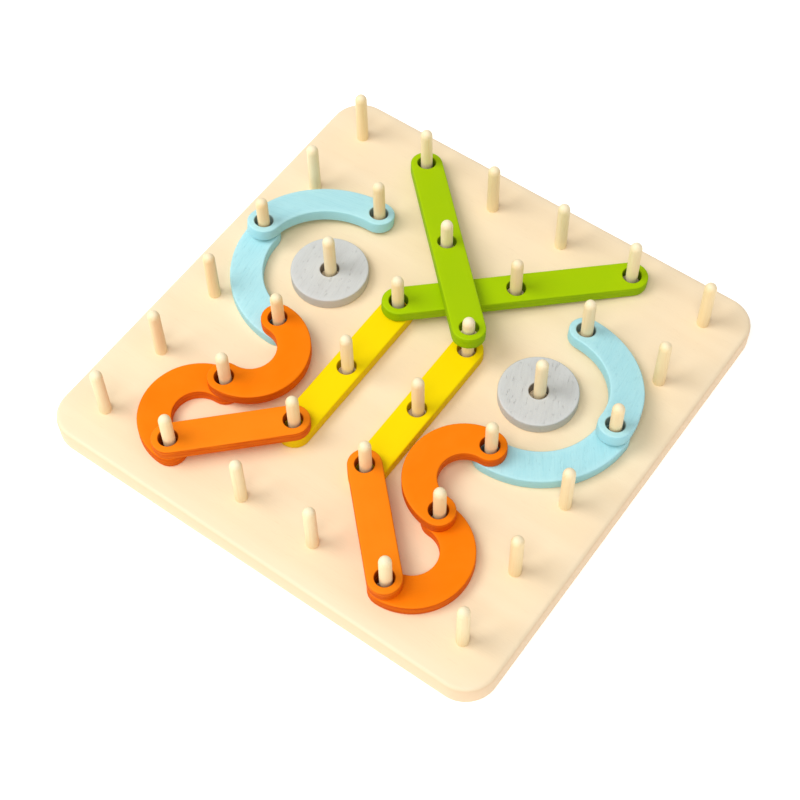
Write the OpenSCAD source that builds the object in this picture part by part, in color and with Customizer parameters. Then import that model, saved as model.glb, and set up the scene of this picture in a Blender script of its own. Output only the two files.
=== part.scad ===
// Wooden peg board shape puzzle.
// A square board carries a grid of glued pegs. Flat wooden bars, arcs and discs with drilled holes
// drop over the pegs, side by side or one on another, to lay out a picture.
// X runs across the columns, Y up the rows, Z up. The origin is the middle of the board's underside.

/* [Board] */
// Length of each side of the square board
board_side = 227; // [218:1:240]
// Thickness of the board
board_t = 12.5; // [9:0.5:16]
// Radius of the board's four corners, seen from above
corner_r = 15; // [8:1:18]
// Radius of the rounding along the board's top and bottom edges
edge_r = 2; // [1:0.5:3.5]

/* [Pegs] */
// Distance from one peg to the next, along rows and columns
pitch = 37.5; // [36:0.5:38]
// Diameter of a peg
peg_d = 5.5; // [5:0.1:6.5]
// Height of a peg's domed tip above the board
peg_h = 29; // [28:1:34]
// Depth of the blind socket that each peg is glued into
socket_depth = 6; // [4:0.5:7]
// Diameter of the socket, and of the peg's turned-down foot that fills it
foot_d = 4.8; // [4:0.1:4.9]

/* [Pieces] */
// Thickness of every loose piece
piece_t = 6; // [5:0.5:6.5]
// Width of the bars and of the arcs
bar_w = 15; // [13:0.5:16]
// Diameter of the holes that drop over the pegs
hole_d = 8.5; // [8:0.1:9]
// Diameter of the round discs
disc_d = 35.5; // [25:0.5:44]
// How far the pieces lie to the left of centre on their pegs, within the play of their holes
nudge = 0.6; // [0:0.1:1]
// Air left under a piece that leans on another one
lean_gap = 0.05; // [0.03:0.01:0.2]

/* [Hidden] */
$fn = 64;
grid_n = 6;                     // pegs along each side
round_fn = 96;                  // true circles on the larger curves
cut = 1;                        // overshoot of a cutting solid
board_z = board_t;              // top of the board
level = piece_t;                // one layer of pieces
tip_r = bar_w / 2;              // round end of a bar or arc
arc_r = pitch;                  // middle radius of a quarter arc
loop_r = pitch / 2;             // middle radius of a half arc
half_long = sqrt(2) * pitch;    // half the hole spacing of a long bar
rows = [for (row = [0 : grid_n - 1]) row];

// The long bar that lies underneath leans from a flat bar's round end down to the board.
low_slope = level / (2 * half_long);
low_mid = low_slope * (half_long + tip_r) + lean_gap;
// The long bar on top leans from the lower bar's near edge down to the board, and rolls
// sideways to lie along the lower bar's sloping top.
cross_z = low_mid + low_slope * half_long / 2 + level * sqrt(1 + pow(low_slope, 2));
top_slope = cross_z / (1.5 * half_long);
top_mid = top_slope * half_long + tip_r * norm([top_slope, low_slope]) + lean_gap;
// A quarter arc that lies on another one leans along Y, over one pitch.
arc_slope = level / pitch;
arc_mid = arc_slope * (pitch / 2 + tip_r) + lean_gap;

function column_name(column) = chr(97 + column);
function peg_name(column, row) = str("peg_", column_name(column), row + 1);
// Place of a peg, counted in columns and rows from the first corner.
function spot(column, row) = [
    (column - (grid_n - 1) / 2) * pitch,
    ((grid_n - 1) / 2 - row) * pitch,
];

// ---- board ----

// Half of the board's edge, as a section from a corner's centre outwards.
module edge_section() {
    square([corner_r - edge_r, board_t]);
    translate([0, edge_r]) square([corner_r, board_t - 2 * edge_r]);
    for (z = [edge_r, board_t - edge_r])
        translate([corner_r - edge_r, z]) intersection() {
            circle(r = edge_r);
            translate([-edge_r, -edge_r]) square(2 * edge_r);
        }
}

module board_side_strip() {
    inner = board_side - 2 * corner_r;
    translate([inner / 2, inner / 2, 0]) rotate([90, 0, 0]) linear_extrude(inner) edge_section();
}

module board_corner() {
    inner = board_side - 2 * corner_r;
    translate([inner / 2, inner / 2, 0])
        rotate_extrude(angle = 90, $fn = round_fn) edge_section();
}

module board() {
    inner = board_side - 2 * corner_r;
    color("bisque") difference() {
        union() {
            translate([-inner / 2, -inner / 2, 0]) cube([inner, inner, board_t]);
            for (turn = [0 : 90 : 270])
                rotate(turn) {
                    board_side_strip();
                    board_corner();
                }
        }
        for (column = rows)
            for (row = rows)
                translate(concat(spot(column, row), board_z - socket_depth))
                    cylinder(d = foot_d, h = socket_depth + cut);
    }
}

// ---- pegs ----

// A dowel with a domed tip. Its turned-down foot fills the socket and its shoulder stands on the
// board.
module peg(column, row) {
    straight = peg_h - peg_d / 2;
    color("wheat") translate(concat(spot(column, row), board_z)) {
        translate([0, 0, -socket_depth]) cylinder(d = foot_d, h = socket_depth + cut);
        cylinder(d = peg_d, h = straight);
        translate([0, 0, straight]) intersection() {
            sphere(d = peg_d);
            translate([-peg_d, -peg_d, -cut / 2]) cube([2 * peg_d, 2 * peg_d, peg_d]);
        }
    }
}

// ---- loose pieces, drawn about the middle of their thickness ----

module peg_hole() {
    cylinder(d = hole_d, h = piece_t + 2 * cut, center = true);
}

// A straight bar along X, with round ends and evenly spaced holes.
module bar(hole_span, hole_count) {
    difference() {
        union() {
            cube([hole_span, bar_w, piece_t], center = true);
            for (side = [-1, 1])
                translate([side * hole_span / 2, 0, 0])
                    cylinder(d = bar_w, h = piece_t, center = true);
        }
        for (hole = [0 : hole_count - 1])
            translate([(hole / (hole_count - 1) - 0.5) * hole_span, 0, 0]) peg_hole();
    }
}

// A part of a ring about Z, from angle 0 round to sweep, with a hole in each round end.
module arc(middle_r, sweep) {
    ends = [[middle_r, 0], middle_r * [cos(sweep), sin(sweep)]];
    difference() {
        union() {
            rotate_extrude(angle = sweep, $fn = round_fn)
                translate([middle_r - bar_w / 2, -piece_t / 2]) square([bar_w, piece_t]);
            for (end = ends)
                translate(end) cylinder(d = bar_w, h = piece_t, center = true);
        }
        for (end = ends)
            translate(end) peg_hole();
    }
}

module disc() {
    difference() {
        cylinder(d = disc_d, h = piece_t, center = true, $fn = round_fn);
        peg_hole();
    }
}

// Sets a piece on the board, raised by so many layers.
module laid(place, layers = 0) {
    translate(concat(place, board_z + level * (layers + 0.5))) children();
}

// Leans a piece about the middle of its thickness. slope is its rise along X and along Y,
// and height is how far the middle of its underside stands above the board.
module leaned(place, slope, height) {
    lean = atan(norm(slope));
    translate(concat(place, board_z + height + piece_t / 2 / cos(lean)))
        rotate(a = lean, v = [slope.y, -slope.x, 0]) children();
}

// Draws its children on the left half of the board, or mirrored on the right half.
module sided(right) {
    mirror([right ? 1 : 0, 0, 0]) children();
}

module grey_disc(right) {
    color("lightgray") sided(right) laid(spot(1, 2)) disc();
}

module blue_arc_low(right) {
    color("lightblue") sided(right) laid(spot(1, 2)) rotate(180) arc(arc_r, 90);
}

module blue_arc_top(right) {
    chord_middle = (spot(0, 2) + spot(1, 1)) / 2;
    color("powderblue") sided(right)
        leaned(chord_middle, [0, -arc_slope], arc_mid)
            translate(spot(1, 2) - chord_middle) rotate(90) arc(arc_r, 90);
}

module orange_arc_low(right) {
    loop_middle = (spot(1, 4) + spot(1, 5)) / 2;
    color("darkorange") sided(right) laid(loop_middle) rotate(90) arc(loop_r, 180);
}

module orange_arc_top(right) {
    loop_middle = (spot(1, 3) + spot(1, 4)) / 2;
    color("orange") sided(right) laid(loop_middle, 1) rotate(-90) arc(loop_r, 180);
}

module orange_bar(right) {
    color("coral") sided(right)
        laid((spot(1, 5) + spot(2, 4)) / 2, 1) rotate(45) bar(half_long, 2);
}

module yellow_bar(right) {
    color("gold") sided(right) laid(spot(2, 3)) rotate(90) bar(2 * pitch, 3);
}

module green_bar_low() {
    slope = -low_slope * [1, 1] / sqrt(2);
    color("yellowgreen") leaned(spot(3, 1), slope, low_mid) rotate(45) bar(2 * half_long, 3);
}

module green_bar_top() {
    slope = (top_slope * [1, -1] - low_slope * [1, 1]) / sqrt(2);
    color("olivedrab") leaned(spot(2, 1), slope, top_mid) rotate(-45) bar(2 * half_long, 3);
}

// Shows a loose piece, slid to the left by the play of its holes. The crossed bars stay centred.
module loose(name, slid = nudge) {
    translate([-slid, 0, 0]) children();
}

board();
for (column = rows)
    for (row = rows)
        peg(column, row);
loose("grey_disc_left") grey_disc(false);
loose("grey_disc_right") grey_disc(true);
loose("blue_arc_low_left") blue_arc_low(false);
loose("blue_arc_low_right") blue_arc_low(true);
loose("blue_arc_top_left") blue_arc_top(false);
loose("blue_arc_top_right") blue_arc_top(true);
loose("orange_arc_low_left") orange_arc_low(false);
loose("orange_arc_low_right") orange_arc_low(true);
loose("orange_arc_top_left") orange_arc_top(false);
loose("orange_arc_top_right") orange_arc_top(true);
loose("orange_bar_left") orange_bar(false);
loose("orange_bar_right") orange_bar(true);
loose("yellow_bar_left") yellow_bar(false);
loose("yellow_bar_right") yellow_bar(true);
loose("green_bar_low", 0) green_bar_low();
loose("green_bar_top", 0) green_bar_top();
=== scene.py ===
import math
import random

import bpy
from mathutils import Matrix, Vector, noise
from mathutils.geometry import delaunay_2d_cdt


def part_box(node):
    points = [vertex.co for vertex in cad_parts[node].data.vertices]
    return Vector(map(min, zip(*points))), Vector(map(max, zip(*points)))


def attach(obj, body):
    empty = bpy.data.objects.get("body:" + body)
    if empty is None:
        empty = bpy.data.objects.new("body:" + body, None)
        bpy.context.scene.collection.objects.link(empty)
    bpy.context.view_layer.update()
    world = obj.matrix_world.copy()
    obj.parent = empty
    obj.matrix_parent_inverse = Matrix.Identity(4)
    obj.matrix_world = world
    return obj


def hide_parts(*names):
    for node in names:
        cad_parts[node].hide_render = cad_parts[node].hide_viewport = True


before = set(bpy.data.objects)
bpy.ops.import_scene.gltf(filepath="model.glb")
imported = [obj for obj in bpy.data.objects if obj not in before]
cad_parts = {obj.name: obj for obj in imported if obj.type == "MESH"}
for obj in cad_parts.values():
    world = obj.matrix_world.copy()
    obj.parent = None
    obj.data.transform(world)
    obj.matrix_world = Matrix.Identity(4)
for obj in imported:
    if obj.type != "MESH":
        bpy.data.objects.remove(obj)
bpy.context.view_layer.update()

# ---------------------------------------------------------------------------------------------
# BOARD
# One square plate of pale, close-grained wood. Its corners are cut round, its edges are routed
# over and sanded, blind sockets are drilled for the pegs, and it gets a thin clear satin coat.
# ---------------------------------------------------------------------------------------------


class Wire:
    """A value between two shader nodes. Sums and products of wires add Math nodes."""

    def __init__(self, finish, socket):
        self.finish = finish
        self.socket = socket

    def _math(self, operation, first, second=0.0):
        return self.finish.node("ShaderNodeMath", {"operation": operation}, {0: first, 1: second})

    def __add__(self, other):
        return self._math("ADD", self, other)

    def __sub__(self, other):
        return self._math("SUBTRACT", self, other)

    def __rsub__(self, other):
        return self._math("SUBTRACT", other, self)

    def __mul__(self, other):
        return self._math("MULTIPLY", self, other)

    def __abs__(self):
        return self._math("ABSOLUTE", self)

    __radd__ = __add__
    __rmul__ = __mul__


class Finish:
    """A material while it is being mixed."""

    def __init__(self, name, roughness=0.5):
        self.material = bpy.data.materials.new(name)
        self.material.use_nodes = True
        self.tree = self.material.node_tree
        self.shader = self.tree.nodes["Principled BSDF"]
        self.set(Roughness=roughness)

    def node(self, kind, settings=None, sockets=None, output=0):
        """Adds a node, sets it up, fills or links its sockets and returns one output as a Wire."""
        made = self.tree.nodes.new(kind)
        for key, value in (settings or {}).items():
            setattr(made, key, value)
        for key, value in (sockets or {}).items():
            self.feed(made.inputs[key], value)
        return Wire(self, made.outputs[output])

    def feed(self, socket, value):
        if isinstance(value, Wire):
            self.tree.links.new(value.socket, socket)
        else:
            socket.default_value = value

    def set(self, **sockets):
        """Feeds sockets of the surface shader; an underscore stands for a space."""
        for key, value in sockets.items():
            self.feed(self.shader.inputs[key.replace("_", " ")], value)

    def blend(self, share, first, second):
        return self.node(
            "ShaderNodeMix", {"data_type": "RGBA"}, {0: share, 6: first, 7: second}, output=2
        )

    def attribute(self, name, output="Fac"):
        return self.node("ShaderNodeAttribute", {"attribute_name": name}, output=output)

    def streaks(self, place, scale, detail=3.0, roughness=0.55):
        """Noise from 0 to 1, with its features stretched to 1 / scale metres each way."""
        stretched = self.node("ShaderNodeMapping", {}, {"Vector": place, "Scale": scale})
        return self.node(
            "ShaderNodeTexNoise",
            {},
            {"Vector": stretched, "Scale": 1.0, "Detail": detail, "Roughness": roughness},
        )

    def spread(self, value, low, high, to_low=0.0, to_high=1.0):
        """Maps low..high of a value smoothly onto to_low..to_high."""
        return self.node(
            "ShaderNodeMapRange",
            {"interpolation_type": "SMOOTHSTEP"},
            {"Value": value, "From Min": low, "From Max": high, "To Min": to_low, "To Max": to_high},
        )

    def flank(self):
        """1 on upright faces and 0 on level ones."""
        normal = self.node("ShaderNodeNewGeometry", output="Normal")
        upward = self.node("ShaderNodeSeparateXYZ", {}, {0: normal}, output="Z")
        return self.spread(abs(upward), 0.85, 0.35)

    def bump(self, height, depth):
        """Raises the surface by up to depth metres where height is 1."""
        self.set(Normal=self.node("ShaderNodeBump", {}, {"Distance": depth, "Height": height}))


def tint(red, green, blue):
    """A colour as the shaders take it, with its opacity."""
    return (red, green, blue, 1.0)


MM = 0.001


def round_outline(spine_points):
    """Stations round a rounded shape: each is a point of its spine and a direction outwards."""
    return [(Vector(point), Vector((math.cos(angle), math.sin(angle)))) for point, angle in spine_points]


def square_stations(core, per_side, per_corner):
    """A square spine of half-width core, with its corners turned and its sides divided."""
    stations = []
    for quarter in range(4):
        start = quarter * math.pi / 2
        sign_x = (1, -1, -1, 1)[quarter]
        sign_y = (1, 1, -1, -1)[quarter]
        corner = Vector((sign_x * core, sign_y * core))
        for step in range(per_corner + 1):
            stations.append((corner, start + step / per_corner * math.pi / 2))
        following = Vector((-sign_y * core, sign_x * core))
        for step in range(1, per_side):
            stations.append((corner.lerp(following, step / per_side), start + math.pi / 2))
    return round_outline(stations)


def slab(
    name, stations, half_width, inside, holes, low, high, ease, hole_ease, cell, grain, seat, tone=0.0
):
    """A flat wooden piece with eased edges and drilled holes, as one closed mesh.

    stations and half_width give its outline, inside(x, y) its depth from the outline, and holes
    a list of (centre, radius, depth), where depth None goes right through. Each edge is rounded
    over by ease. grain turns the wood's grain, seat places the finished piece, and tone is how
    pale it came out, from 0 to 1.
    """
    shuffle = random.Random(name)
    drift = Vector([shuffle.uniform(-1, 1) for _ in range(3)])
    ease_steps = 4
    smallest_gap = 1e-7
    vertices, rim_highlights, bore_shades, faces = [], [], [], []

    def wander(x, y):
        """Hand sanding takes up to 0.1 mm more off an edge here and there."""
        waves_per_metre = 90
        return 0.05 * MM * (1 + noise.noise(Vector((x, y, 0)) * waves_per_metre + drift * 50))

    def add(x, y, z, rim_highlight, bore_shade=0.0):
        vertices.append((x, y, z))
        rim_highlights.append(rim_highlight)
        bore_shades.append(bore_shade)
        return len(vertices) - 1

    def profile(edge):
        """Steps of a rounded edge: how far in from the wall, and how far below the face."""
        turns = [step / ease_steps * math.pi / 2 for step in range(ease_steps + 1)]
        return [(edge * (1 - math.sin(turn)), edge * (1 - math.cos(turn))) for turn in turns]

    def wall(ring_at, edge, floor_z, to_bottom, drilled):
        """Loops down a wall from its top edge to its bottom edge, or to the floor of a blind hole.

        drilled is 1 on the wall of a hole and 0 on the outline. Returns the two end loops.
        """
        steps = [(inset, high - drop) for inset, drop in profile(edge)]
        if to_bottom:
            steps += [(inset, low + drop) for inset, drop in reversed(profile(edge))]
        else:
            steps.append((0.0, floor_z))
        loops = []
        for inset, z in steps:
            depth = min(high - z, z - low) if to_bottom else high - z
            # rim_highlight is 1 on the rounded edges, where the materials paint a highlight.
            rim_highlight = max(0.0, 1 - depth / (2 * edge)) if depth > 0 else 1.0
            # bore_shade is 1 down the walls of holes, where the materials paint shade.
            bore_shade = drilled * (1 - inset / edge)
            loops.append([add(x, y, z, rim_highlight, bore_shade) for x, y in ring_at(inset)])
        for upper, lower in zip(loops, loops[1:]):
            for one in range(len(upper)):
                two = (one + 1) % len(upper)
                faces.append((upper[one], lower[one], lower[two], upper[two]))
        return loops[0], loops[-1]

    def outer_ring(inset):
        ring = []
        for point, outward in stations:
            x, y = point + outward * (half_width - inset)
            trimmed = point + outward * (half_width - inset - wander(x, y))
            ring.append(tuple(trimmed))
        return ring

    def hole_ring(centre, radius):
        corners = 32

        def ring_at(inset):
            turns = [-2 * math.pi * step / corners for step in range(corners)]
            reach = radius + inset
            return [(centre[0] + reach * math.cos(t), centre[1] + reach * math.sin(t)) for t in turns]

        return ring_at

    outer_top, outer_bottom = wall(outer_ring, ease, low, True, 0.0)
    tops, bottoms, top_holes, bottom_holes = [outer_top], [outer_bottom], [], []
    for centre, radius, depth in holes:
        through = depth is None
        floor_z = low if through else high - depth
        upper, lower = wall(hole_ring(centre, radius), hole_ease, floor_z, through, 1.0)
        tops.append(upper)
        top_holes.append((centre, radius + hole_ease))
        if through:
            bottoms.append(lower)
            bottom_holes.append((centre, radius + hole_ease))
        else:
            faces.append(tuple(reversed(lower)))

    def cover(loops, open_holes, z, upward):
        """Fills a level face between its loops with even triangles."""
        flat, ids, edges = [], [], []
        for loop in loops:
            first = len(flat)
            for index, vertex in enumerate(loop):
                flat.append(Vector(vertices[vertex][:2]))
                ids.append(vertex)
                edges.append((first + index, first + (index + 1) % len(loop)))
        reach = max(abs(c) for point in flat for c in point)
        count = int(2 * reach / cell) + 2
        for column in range(count):
            for row in range(count):
                x = -reach + (column + 0.5 * (row % 2)) * cell
                y = -reach + row * cell
                deep = inside(x, y) - ease
                near = [(Vector((x, y)) - Vector(c)).length - r for c, r in open_holes]
                if min([deep] + near) > cell * 0.55:
                    flat.append(Vector((x, y)))
                    ids.append(add(x, y, z, 0.0))
        enclosed = 1
        points, _, triangles, sources, _, _ = delaunay_2d_cdt(flat, edges, [], enclosed, smallest_gap)
        for triangle in triangles:
            mid = sum((points[corner] for corner in triangle), Vector((0, 0))) / 3
            if any((mid - Vector(c)).length < r * 0.999 for c, r in open_holes):
                continue
            corners = [ids[sources[corner][0]] for corner in triangle]
            turned = (points[triangle[1]] - points[triangle[0]]).cross(
                points[triangle[2]] - points[triangle[0]]
            )
            faces.append(tuple(corners if (turned > 0) == upward else reversed(corners)))

    cover(tops, top_holes, high, True)
    cover(bottoms, bottom_holes, low, False)

    mesh = bpy.data.meshes.new(name)
    mesh.from_pydata(vertices, [], faces)
    turn = Matrix.Rotation(-grain, 3, "Z")
    along = mesh.attributes.new("grain", "FLOAT_VECTOR", "POINT")
    along.data.foreach_set(
        "vector", [c for v in vertices for c in turn @ Vector(v) + drift]
    )
    # rim_highlight marks the rounded edges for a painted highlight.
    mesh.attributes.new("rim_highlight", "FLOAT", "POINT").data.foreach_set("value", rim_highlights)
    # bore_shade marks the hole walls for painted shade.
    mesh.attributes.new("bore_shade", "FLOAT", "POINT").data.foreach_set("value", bore_shades)
    mesh.attributes.new("tone", "FLOAT", "POINT").data.foreach_set("value", [tone] * len(vertices))
    mesh.transform(seat)
    mesh.validate()
    mesh.shade_smooth()
    piece = bpy.data.objects.new(name, mesh)
    bpy.context.scene.collection.objects.link(piece)
    return piece


def board_wood():
    """Pale wood under a thin clear coat: faint long grain and a few darker fibres, with painted shade
    darkening the sides and a painted highlight along the top edges.
    """
    finish = Finish("board wood", roughness=0.42)
    place = finish.attribute("grain", "Vector")
    rim_highlight = finish.attribute("rim_highlight")
    bands = finish.streaks(place, (6, 55, 55), detail=2.0)
    fibres = finish.streaks(place, (60, 1400, 1400), detail=3.0)
    flecks = finish.spread(finish.streaks(place, (150, 2600, 2600), detail=1.0), 0.66, 0.78)
    wood = finish.blend(finish.spread(bands, 0.35, 0.65), tint(0.95, 0.76, 0.51), tint(0.98, 0.80, 0.55))
    wood = finish.blend(fibres * 0.16, wood, tint(0.86, 0.65, 0.40))
    wood = finish.blend(flecks * 0.10, wood, tint(0.62, 0.42, 0.22))
    # Painted shade: the upright sides are darkened to a deeper tan.
    wood = finish.blend(finish.flank() * 0.8, wood, tint(0.86, 0.60, 0.35))
    # Painted highlight: a paler band along the rounded top edges.
    wood = finish.blend(rim_highlight * 0.10, wood, tint(0.97, 0.84, 0.64))
    finish.set(Base_Color=wood)
    finish.set(Roughness=0.38 + 0.14 * fibres)
    finish.set(Specular_IOR_Level=0.3)
    finish.bump(fibres * 0.7 + bands * 0.3 - flecks * 0.5, 0.04 * MM)
    return finish.material


board_low, board_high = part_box("board")
board_half = board_high.x
corner_radius = 15 * MM
edge_radius = 2 * MM
peg_low, peg_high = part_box("peg_a1")
peg_radius = (peg_high.x - peg_low.x) / 2
core = board_half - corner_radius
columns = "abcdef"
peg_spots = [f"{column}{row}" for column in columns for row in range(1, 7)]


def peg_place(spot):
    """Where a peg stands, from its column letter and row number."""
    low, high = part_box("peg_" + spot)
    return ((low + high) / 2).to_2d()


def inside_board(x, y):
    """Depth inside the rounded square, negative outside it."""
    over = Vector((max(abs(x) - core, 0), max(abs(y) - core, 0)))
    return corner_radius - over.length if over.length > 0 else board_half - max(abs(x), abs(y))


socket_depth = board_high.z - peg_low.z
socket_radius = 2.4 * MM
sockets = [(peg_place(spot), socket_radius, socket_depth) for spot in peg_spots]
board = slab(
    "board_plate",
    square_stations(core, per_side=40, per_corner=14),
    corner_radius,
    inside_board,
    sockets,
    board_low.z,
    board_high.z,
    edge_radius,
    0.25 * MM,
    cell=5 * MM,
    grain=0.0,
    seat=Matrix.Identity(4),
)
board.data.materials.append(board_wood())
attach(board, "board")
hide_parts("board")

# ---------------------------------------------------------------------------------------------
# PEGS
# Thirty-six lengths of thin dowel, turned from pale wood, with a domed tip and a thinner foot.
# Each foot is glued into its socket, with the grain running up it, and no two have quite one tone.
# ---------------------------------------------------------------------------------------------


class Tree:
    """A geometry node tree while it is being built."""

    def __init__(self, name):
        self.group = bpy.data.node_groups.new(name, "GeometryNodeTree")
        self.group.interface.new_socket("Geometry", in_out="INPUT", socket_type="NodeSocketGeometry")
        self.group.interface.new_socket("Geometry", in_out="OUTPUT", socket_type="NodeSocketGeometry")
        self.entry = self.group.nodes.new("NodeGroupInput")
        self.exit = self.group.nodes.new("NodeGroupOutput")
        self.named = {}

    def size(self, name, value):
        """A named input of the tree, with its value."""
        kind = "NodeSocketInt" if isinstance(value, int) else "NodeSocketFloat"
        made = self.group.interface.new_socket(name, in_out="INPUT", socket_type=kind)
        self.named[made.identifier] = value
        return self.entry.outputs[made.identifier]

    def node(self, kind, settings=None, sockets=None):
        made = self.group.nodes.new(kind)
        for key, value in (settings or {}).items():
            setattr(made, key, value)
        for key, value in (sockets or {}).items():
            if isinstance(value, bpy.types.NodeSocket):
                self.group.links.new(value, made.inputs[key])
            else:
                made.inputs[key].default_value = value
        return made

    def math(self, operation, first, second=0.0):
        return self.node("ShaderNodeMath", {"operation": operation}, {0: first, 1: second}).outputs[0]

    def grow(self, name, result):
        """Runs the tree and returns its result as a plain mesh object."""
        self.group.links.new(result, self.exit.inputs[0])
        holder = bpy.data.objects.new(name + "_tree", bpy.data.meshes.new(name + "_tree"))
        bpy.context.scene.collection.objects.link(holder)
        run = holder.modifiers.new("grow", "NODES")
        run.node_group = self.group
        for identifier, value in self.named.items():
            run[identifier] = value
        graph = bpy.context.evaluated_depsgraph_get()
        mesh = bpy.data.meshes.new_from_object(holder.evaluated_get(graph), depsgraph=graph)
        mesh.name = name
        coat = next(material for material in mesh.materials if material)
        mesh.materials.clear()
        mesh.materials.append(coat)
        bpy.data.objects.remove(holder)
        piece = bpy.data.objects.new(name, mesh)
        bpy.context.scene.collection.objects.link(piece)
        return piece


def peg_wood():
    """Bare sanded dowel: fine grain up its length, and a painted highlight that pales the level top of
    the dome.
    """
    finish = Finish("peg wood", roughness=0.5)
    place = finish.node("ShaderNodeTexCoord", output="Object")
    tone = finish.attribute("tone")
    fibres = finish.streaks(place, (1700, 1700, 45), detail=3.0)
    cloud = finish.streaks(place, (220, 220, 30), detail=2.0)
    wood = finish.blend(tone, tint(1.0, 0.77, 0.42), tint(1.0, 0.85, 0.54))
    wood = finish.blend(finish.spread(fibres, 0.45, 0.75) * 0.28, wood, tint(0.92, 0.58, 0.25))
    wood = finish.blend(finish.spread(cloud, 0.4, 0.7) * 0.25, wood, tint(0.97, 0.80, 0.54))
    # Painted highlight: the level faces, chiefly the top of the dome, are made paler.
    wood = finish.blend((1 - finish.flank()) * 0.5, wood, tint(0.99, 0.88, 0.66))
    finish.set(Base_Color=wood)
    finish.set(Roughness=0.42 + 0.16 * fibres)
    finish.set(Specular_IOR_Level=0.3)
    finish.bump(fibres, 0.03 * MM)
    return finish.material


def grow_pegs():
    """A grid of pegs, each a length of dowel swept up a line, with a random turn and tone."""
    tree = Tree("dowel pegs")
    radius = tree.size("Radius", peg_radius)
    foot_radius = tree.size("Foot radius", socket_radius - 0.02 * MM)
    foot_length = tree.size("Foot length", socket_depth)
    above_board = tree.size("Height above the board", peg_high.z - board_high.z)
    dome = tree.size("Dome height", 1.2 * peg_radius)
    spacing = tree.size("Spacing", peg_place("b1").x - peg_place("a1").x)
    count = tree.size("Pegs a side", len(columns))
    bottom = tree.size("Bottom of the sockets", peg_low.z)
    seed = tree.size("Seed", 7)

    # Rings 0 and 1 bound the foot, rings 2 and 3 the straight dowel, and the rest turn over the dome.
    dome_rings = 11
    line = tree.node("GeometryNodeCurvePrimitiveLine", {}, {"End": (0, 0, 1)}).outputs[0]
    dense = tree.node("GeometryNodeResampleCurve", {}, {"Curve": line, "Count": 4 + dome_rings})
    ring = tree.node("GeometryNodeInputIndex").outputs[0]

    def reached(number):
        """0 on the rings before a number and 1 from it on."""
        return tree.math("GREATER_THAN", ring, number - 0.5)

    # The dome stops short of a point, and a small flat cap closes it.
    last_turn = math.radians(84)
    past = tree.math("MAXIMUM", tree.math("SUBTRACT", ring, 3.0), 0.0)
    turn = tree.math("MULTIPLY", past, last_turn / dome_rings)
    in_socket = tree.math("MULTIPLY", foot_length, reached(1))
    straight = tree.math("MULTIPLY", tree.math("SUBTRACT", above_board, dome), reached(3))
    rise = tree.math("MULTIPLY", tree.math("SINE", turn), dome)
    height = tree.math("ADD", tree.math("ADD", in_socket, straight), rise)
    shoulder = tree.math("MULTIPLY", tree.math("SUBTRACT", radius, foot_radius), reached(2))
    girth = tree.math("MULTIPLY", tree.math("ADD", foot_radius, shoulder), tree.math("COSINE", turn))
    shape = tree.node("ShaderNodeCombineXYZ", {}, {"Z": height}).outputs[0]
    bent = tree.node(
        "GeometryNodeSetPosition", {}, {"Geometry": dense.outputs[0], "Position": shape}
    )
    circle = tree.node("GeometryNodeCurvePrimitiveCircle", {}, {"Resolution": 28, "Radius": 1.0})
    dowel = tree.node(
        "GeometryNodeCurveToMesh",
        {},
        {
            "Curve": bent.outputs[0],
            "Profile Curve": circle.outputs[0],
            "Scale": girth,
            "Fill Caps": True,
        },
    )
    # The shoulder and the cap keep crisp edges.
    fold = tree.node("GeometryNodeInputMeshEdgeAngle").outputs[0]
    creased = tree.math("GREATER_THAN", fold, math.radians(40))
    turned = tree.node(
        "GeometryNodeSetShadeSmooth",
        {"domain": "EDGE"},
        {"Geometry": dowel.outputs[0], "Selection": creased, "Shade Smooth": False},
    )
    extent = tree.math("MULTIPLY", tree.math("SUBTRACT", count, 1.0), spacing)
    grid = tree.node(
        "GeometryNodeMeshGrid",
        {},
        {"Size X": extent, "Size Y": extent, "Vertices X": count, "Vertices Y": count},
    )
    lift = tree.node("ShaderNodeCombineXYZ", {}, {"Z": bottom}).outputs[0]
    raised = tree.node("GeometryNodeSetPosition", {}, {"Geometry": grid.outputs[0], "Offset": lift})
    spin = tree.node("FunctionNodeRandomValue", {}, {3: 2 * math.pi, "Seed": seed})
    heading = tree.node("ShaderNodeCombineXYZ", {}, {"Z": spin.outputs[1]}).outputs[0]
    placed = tree.node(
        "GeometryNodeInstanceOnPoints",
        {},
        {"Points": raised.outputs[0], "Instance": turned.outputs[0], "Rotation": heading},
    )
    tone = tree.node("FunctionNodeRandomValue", {}, {3: 1.0, "Seed": seed})
    toned = tree.node(
        "GeometryNodeStoreNamedAttribute",
        {"data_type": "FLOAT", "domain": "INSTANCE"},
        {"Geometry": placed.outputs[0], "Name": "tone", "Value": tone.outputs[1]},
    )
    real = tree.node("GeometryNodeRealizeInstances", {}, {"Geometry": toned.outputs[0]})
    coated = tree.node(
        "GeometryNodeSetMaterial", {}, {"Geometry": real.outputs[0], "Material": peg_wood()}
    )
    return tree.grow("dowel_pegs", coated.outputs[0])


pegs = grow_pegs()
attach(pegs, "board")
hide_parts(*["peg_" + spot for spot in peg_spots])

# ---------------------------------------------------------------------------------------------
# GREY DISCS
# Two discs sawn from thin wood, with one hole each. They are wiped with a thin grey stain that
# lets the grain show, and the sanding leaves small dents. Their top edges get a painted highlight,
# and their sides and holes painted shade.
# ---------------------------------------------------------------------------------------------


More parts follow.
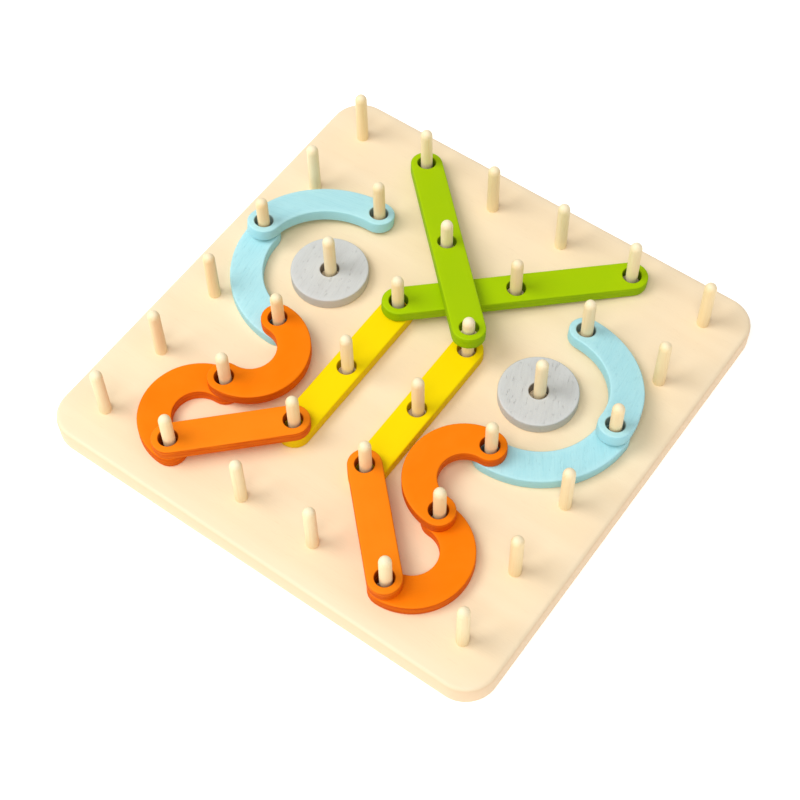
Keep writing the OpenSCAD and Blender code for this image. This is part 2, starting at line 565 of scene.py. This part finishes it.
def stained_wood(name, face, flank, pale, dark, wear):
    """Thin matt stain over grain, with painted shade on the sides and in the bores and a painted
    highlight on the top edges; wear is how marked dents and scuffs are.
    """
    finish = Finish(name, roughness=0.6)
    place = finish.attribute("grain", "Vector")
    rim_highlight = finish.attribute("rim_highlight")
    tone = finish.attribute("tone")
    bands = finish.streaks(place, (25, 260, 260), detail=3.0)
    fibres = finish.streaks(place, (110, 1500, 1500), detail=4.0, roughness=0.65)
    dents = finish.spread(finish.streaks(place, (300, 1000, 1000), detail=3.0), 0.63, 0.72)
    scuffs = finish.spread(finish.streaks(place, (420, 2100, 2100), detail=3.0), 0.62, 0.72)
    side = finish.flank()
    colour = finish.blend(finish.spread(bands, 0.3, 0.7) * 0.35 + tone * 0.3, face, pale)
    colour = finish.blend(finish.spread(fibres, 0.45, 0.70) * bands * 0.5, colour, pale)
    colour = finish.blend(finish.spread(fibres, 0.50, 0.32) * (1 - bands) * 0.42, colour, dark)
    colour = finish.blend(dents * (0.4 * wear), colour, dark)
    colour = finish.blend(scuffs * wear, colour, pale)
    # Painted shade: the upright sides take the flank colour.
    colour = finish.blend(side * 0.8, colour, flank)
    # Painted highlight: the rounded top edges are brightened.
    colour = finish.blend(rim_highlight * (1 - side) * 0.55, colour, pale)
    # Painted shade: the hole walls are darkened.
    colour = finish.blend(finish.attribute("bore_shade") * 0.65, colour, tint(0.13, 0.08, 0.045))
    finish.set(Base_Color=colour)
    finish.set(Roughness=0.50 + 0.22 * fibres)
    finish.set(Specular_IOR_Level=0.25)
    finish.bump(fibres * 0.6 + bands * 0.4 - dents * (1.2 * wear) - scuffs * 0.4, 0.16 * MM)
    return finish.material


def seat_on(node, place):
    """Where a CAD piece lies: level or leaning, from the tilt of its flat faces.

    The result carries a mesh drawn about the middle of the piece's thickness to the point
    of that middle plane above place.
    """
    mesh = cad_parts[node].data
    mesh.calc_loop_triangles()
    faces = [(tri.area, tri.normal.copy(), tri.center.copy()) for tri in mesh.loop_triangles]
    lean = max(faces, key=lambda face: face[0] * (face[1].z > 0.7))[1]
    levels = [lean.dot(centre) for _, normal, centre in faces if abs(normal.dot(lean)) > 0.999]
    middle = (min(levels) + max(levels)) / 2
    height = (middle - lean.x * place.x - lean.y * place.y) / lean.z
    tilt = Vector((0, 0, 1)).rotation_difference(lean).to_matrix().to_4x4()
    return Matrix.Translation((place.x, place.y, height)) @ tilt


disc_low, disc_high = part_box("grey_disc_left")
thickness = disc_high.z - disc_low.z
disc_radius = (disc_high.x - disc_low.x) / 2
hole_radius = 4.25 * MM
soft_edge = 0.7 * MM
hole_edge = 0.5 * MM
paint_gap = 0.02 * MM


def mesh_box(mesh):
    """The lowest and highest corners of a mesh."""
    points = [vertex.co for vertex in mesh.vertices]
    low = Vector([min(point[axis] for point in points) for axis in range(3)])
    high = Vector([max(point[axis] for point in points) for axis in range(3)])
    return low, high


def loose_piece(name, stations, half_width, inside, hole_places, grain, place, finish, tone):
    """Makes one painted piece where its CAD node lies and hands it to its body.

    place is where the middle of the piece would be if its holes were centred on their pegs.
    """
    piece = slab(
        name + "_painted",
        stations,
        half_width,
        inside,
        [(hole, hole_radius, None) for hole in hole_places],
        paint_gap - thickness / 2,
        thickness / 2 - paint_gap,
        soft_edge,
        hole_edge,
        cell=2.2 * MM,
        grain=grain,
        seat=seat_on(name, place),
        tone=tone,
    )
    made_low, made_high = mesh_box(piece.data)
    low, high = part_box(name)
    play = (low + high - made_low - made_high) / 2
    piece.data.transform(Matrix.Translation(play))
    piece.data.materials.append(finish)
    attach(piece, name)
    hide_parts(name)
    return piece


# Painted light in the stain: the second colour is painted shade for the sides, and the third also gives
# the painted highlight on the top edges.
grey_stain = stained_wood(
    "grey stain",
    tint(0.60, 0.605, 0.585),
    tint(0.56, 0.545, 0.51),
    tint(0.67, 0.68, 0.66),
    tint(0.45, 0.44, 0.42),
    wear=0.75,
)
disc_stations = round_outline([((0, 0), math.radians(5 * step)) for step in range(72)])
for side, peg, heading, tone in (("left", "b3", 99, 0.7), ("right", "e3", 112, 0.0)):
    disc = loose_piece(
        "grey_disc_" + side,
        disc_stations,
        disc_radius,
        lambda x, y: disc_radius - math.hypot(x, y),
        [(0, 0)],
        math.radians(heading),
        peg_place(peg),
        grey_stain,
        tone,
    )

# ---------------------------------------------------------------------------------------------
# BLUE ARCS
# Four quarter rings sawn from thin wood, with round ends and a hole in each, wiped with a thin
# light blue stain. The upper two lean, with one end on a lower arc and the other on the board.
# ---------------------------------------------------------------------------------------------

bar_half = 7.5 * MM


def ring_part(centre, radius, start, sweep):
    """Stations, depth test and holes of a part of a ring, drawn anticlockwise from start."""
    centre = Vector(centre)
    steps = max(8, int(math.degrees(sweep) / 5))
    cap_steps = 12

    def on_ring(angle):
        return centre + radius * Vector((math.cos(angle), math.sin(angle)))

    angles = [start + sweep * step / steps for step in range(steps + 1)]
    caps = [math.pi * step / cap_steps for step in range(1, cap_steps)]
    stations = [(on_ring(angle), angle) for angle in angles]
    stations += [(on_ring(angles[-1]), angles[-1] + turn) for turn in caps]
    stations += [(on_ring(angle), angle + math.pi) for angle in reversed(angles)]
    stations += [(on_ring(start), start + math.pi + turn) for turn in caps]
    ends = [on_ring(start), on_ring(start + sweep)]

    def inside(x, y):
        arm = Vector((x, y)) - centre
        past = (math.atan2(arm.y, arm.x) - start) % (2 * math.pi)
        to_ends = min((Vector((x, y)) - end).length for end in ends)
        to_spine = abs(arm.length - radius) if past < sweep else to_ends
        return bar_half - min(to_spine, to_ends)

    return round_outline(stations), inside, ends


def ring_piece(name, first_peg, last_peg, centre, radius, start, sweep, grain, finish, tone):
    """A part of a ring with its two holes over two pegs."""
    place = (peg_place(first_peg) + peg_place(last_peg)) / 2
    stations, inside, ends = ring_part(centre - place, radius, start, sweep)
    return loose_piece(name, stations, bar_half, inside, ends, grain, place, finish, tone)


# Painted light in the stain: the second colour is painted shade for the sides, and the third also gives
# the painted highlight on the top edges.
blue_stain = stained_wood(
    "blue stain",
    tint(0.41, 0.755, 0.81),
    tint(0.38, 0.75, 0.84),
    tint(0.50, 0.83, 0.87),
    tint(0.28, 0.60, 0.66),
    wear=0.4,
)
pitch = peg_place("b1").x - peg_place("a1").x
quarter = math.pi / 2
for name, first, last, middle, start, heading, tone in (
    ("blue_arc_low_left", "a3", "b4", "b3", 2 * quarter, 100, 0.8),
    ("blue_arc_top_left", "a3", "b2", "b3", quarter, 15, 0.8),
    ("blue_arc_low_right", "e4", "f3", "e3", 3 * quarter, 125, 0.1),
    ("blue_arc_top_right", "e2", "f3", "e3", 0, 100, 0.0),
):
    turn = math.radians(heading)
    centre = peg_place(middle)
    arc = ring_piece(name, first, last, centre, pitch, start, quarter, turn, blue_stain, tone)

# ---------------------------------------------------------------------------------------------
# ORANGE ARCS AND BARS
# Four half rings and two short bars, sawn from thin wood, their edges eased by sanding, then
# sprayed with satin paint that covers the grain. Their sawn sides get painted shade, broken up by
# saw marks, their rims a painted highlight and their holes painted shade.
# ---------------------------------------------------------------------------------------------


def painted_wood(name, face, flank, bright, bore_shade):
    """Opaque satin paint, a little mottled, with a painted highlight on the rims, painted shade on the
    sides, broken by saw marks, and painted shade in the bores.
    """
    finish = Finish(name, roughness=0.45)
    place = finish.attribute("grain", "Vector")
    rim_highlight = finish.attribute("rim_highlight")
    tone = finish.attribute("tone")
    cloud = finish.streaks(place, (60, 90, 90), detail=2.0)
    fibres = finish.streaks(place, (90, 1300, 1300), detail=3.0)
    saw = finish.spread(finish.streaks(place, (70, 70, 1500), detail=2.0), 0.38, 0.62)
    side = finish.flank()
    colour = finish.blend(finish.spread(cloud, 0.3, 0.7) * 0.25 + tone * 0.6, face, bright)
    colour = finish.blend(finish.spread(fibres, 0.55, 0.75) * 0.08, colour, flank)
    # Painted shade on the sides, varied by the real saw marks.
    colour = finish.blend(side * (0.55 + 0.45 * saw), colour, flank)
    # Painted highlight on the rounded top edges.
    colour = finish.blend(rim_highlight * (1 - side) * 0.15, colour, bright)
    # Painted shade on the hole walls.
    colour = finish.blend(finish.attribute("bore_shade") * 0.55, colour, bore_shade)
    finish.set(Base_Color=colour)
    finish.set(Roughness=0.40 + 0.12 * fibres + 0.14 * side)
    finish.set(Specular_IOR_Level=0.08)
    finish.bump(fibres * 0.35 + cloud * 0.25 + saw * side * 1.2, 0.045 * MM)
    return finish.material


# Painted light in the paint: the second colour is painted shade for the sides, the third also gives the
# painted highlight on the rims, and the last is painted shade in the holes.
orange_paint = painted_wood(
    "orange paint",
    tint(0.96, 0.205, 0.0),
    tint(0.70, 0.105, 0.0),
    tint(0.97, 0.255, 0.008),
    tint(0.16, 0.02, 0.0),
)
half_ring = math.pi
loop_radius = pitch / 2
for name, first, last, start, heading, tone in (
    ("orange_arc_low_left", "b5", "b6", quarter, 10, 0.1),
    ("orange_arc_top_left", "b4", "b5", -quarter, 95, 0.0),
    ("orange_arc_low_right", "e5", "e6", -quarter, 40, 0.0),
    ("orange_arc_top_right", "e4", "e5", quarter, 80, 0.3),
):
    turn = math.radians(heading)
    centre = (peg_place(first) + peg_place(last)) / 2
    arc = ring_piece(
        name, first, last, centre, loop_radius, start, half_ring, turn, orange_paint, tone
    )


def bar_piece(name, first_peg, last_peg, hole_count, finish, tone=0.3):
    """A straight bar with round ends, whose holes run evenly from one peg to another."""
    first, last = peg_place(first_peg), peg_place(last_peg)
    place = (first + last) / 2
    reach = (last - first) / 2
    heading = math.atan2(reach.y, reach.x)
    divisions = int(2 * reach.length / (6 * MM))
    cap_steps = 12
    along = [-reach + 2 * reach * step / divisions for step in range(divisions + 1)]
    caps = [math.pi * step / cap_steps for step in range(1, cap_steps)]
    left = heading + quarter
    stations = [(point, left) for point in reversed(along)]
    stations += [(-reach, left + turn) for turn in caps]
    stations += [(point, left + math.pi) for point in along]
    stations += [(reach, left + math.pi + turn) for turn in caps]

    def inside(x, y):
        share = max(-1, min(1, Vector((x, y)).dot(reach) / reach.length_squared))
        return bar_half - (Vector((x, y)) - reach * share).length

    holes = [-reach + 2 * reach * hole / (hole_count - 1) for hole in range(hole_count)]
    return loose_piece(
        name, round_outline(stations), bar_half, inside, holes, heading, place, finish, tone
    )


for name, first, last in (("orange_bar_left", "b6", "c5"), ("orange_bar_right", "d5", "e6")):
    bar_piece(name, first, last, 2, orange_paint, tone=1.0)

# ---------------------------------------------------------------------------------------------
# YELLOW BARS
# Two straight bars with three holes, lying flat on the board side by side, finished in the same
# satin paint as the orange pieces.
# ---------------------------------------------------------------------------------------------

# Painted light in the paint: the second colour is painted shade for the sides, the third also gives the
# painted highlight on the rims, and the last is painted shade in the holes.
yellow_paint = painted_wood(
    "yellow paint",
    tint(0.95, 0.70, 0.0),
    tint(0.84, 0.58, 0.0),
    tint(0.97, 0.75, 0.0),
    tint(0.30, 0.19, 0.0),
)
for name, first, last in (("yellow_bar_left", "c5", "c3"), ("yellow_bar_right", "d5", "d3")):
    bar_piece(name, first, last, 3, yellow_paint)

# ---------------------------------------------------------------------------------------------
# GREEN BARS
# Two long bars with three holes, crossed. The lower one leans from a yellow bar down to the
# board, and the upper one leans over the lower, so its far end stands clear of the other yellow.
# ---------------------------------------------------------------------------------------------

# Painted light in the paint: the second colour is painted shade for the sides, the third also gives the
# painted highlight on the rims, and the last is painted shade in the holes.
green_paint = painted_wood(
    "green paint",
    tint(0.37, 0.585, 0.0),
    tint(0.29, 0.51, 0.0),
    tint(0.42, 0.61, 0.0),
    tint(0.045, 0.08, 0.0),
)
for name, first, last in (("green_bar_low", "c3", "e1"), ("green_bar_top", "b1", "d3")):
    bar_piece(name, first, last, 3, green_paint)

# ---------------------------------------------------------------------------------------------
# STUDIO
# A white table under a soft lamp in front and to the left, with a weaker one beside the camera
# and white walls. The camera looks down on one corner of the board through a long lens.
# ---------------------------------------------------------------------------------------------

scene = bpy.context.scene
scene.view_settings.view_transform = "Standard"
scene.view_settings.look = "None"

floor_half = 3.0
floor_mesh = bpy.data.meshes.new("floor")
floor_mesh.from_pydata(
    [(x * floor_half, y * floor_half, 0) for x, y in ((-1, -1), (1, -1), (1, 1), (-1, 1))],
    [],
    [(0, 1, 2, 3)],
)
floor = bpy.data.objects.new("floor", floor_mesh)
scene.collection.objects.link(floor)
floor_paper = Finish("white paper", roughness=0.9)
floor_paper.set(Base_Color=tint(0.93, 0.93, 0.93))
floor_paper.set(Emission_Color=tint(1.0, 1.0, 1.0), Emission_Strength=0.45)
floor_mesh.materials.append(floor_paper.material)

world = bpy.data.worlds.new("white walls")
scene.world = world
world.use_nodes = True
walls = world.node_tree.nodes["Background"]
walls.inputs["Color"].default_value = tint(1.0, 1.0, 1.0)
walls.inputs["Strength"].default_value = 0.40


def soft_lamp(name, azimuth, elevation, distance, energy, size):
    """A round lamp that faces the board from a compass direction."""
    data = bpy.data.lights.new(name, "AREA")
    data.shape = "DISK"
    data.size = size
    data.energy = energy
    made = bpy.data.objects.new(name, data)
    scene.collection.objects.link(made)
    level = math.cos(math.radians(elevation))
    turn = math.radians(azimuth)
    made.location = distance * Vector(
        (math.sin(turn) * level, -math.cos(turn) * level, math.sin(math.radians(elevation)))
    )
    made.rotation_euler = made.location.to_track_quat("Z", "Y").to_euler()


soft_lamp("key", azimuth=-50, elevation=55, distance=1.7, energy=14.6, size=1.0)
soft_lamp("fill beside the camera", azimuth=20, elevation=62, distance=3.0, energy=30, size=1.6)

camera_data = bpy.data.cameras.new("camera")
camera = bpy.data.objects.new("camera", camera_data)
scene.collection.objects.link(camera)
scene.camera = camera
azimuth = math.radians(37)
elevation = math.radians(58)
roll = math.radians(-1.5)
back = Vector(
    (
        math.sin(azimuth) * math.cos(elevation),
        -math.cos(azimuth) * math.cos(elevation),
        math.sin(elevation),
    )
)
aim = Vector((0.2 * pitch, -0.44 * pitch, board_high.z))
distance = 19.75 * pitch
camera_data.sensor_width = 36
camera_data.lens = 77.0
camera.rotation_mode = "QUATERNION"
facing = back.to_track_quat("Z", "Y").to_matrix().to_4x4() @ Matrix.Rotation(roll, 4, "Z")
camera.rotation_quaternion = facing.to_quaternion()
camera.location = aim + back * distance
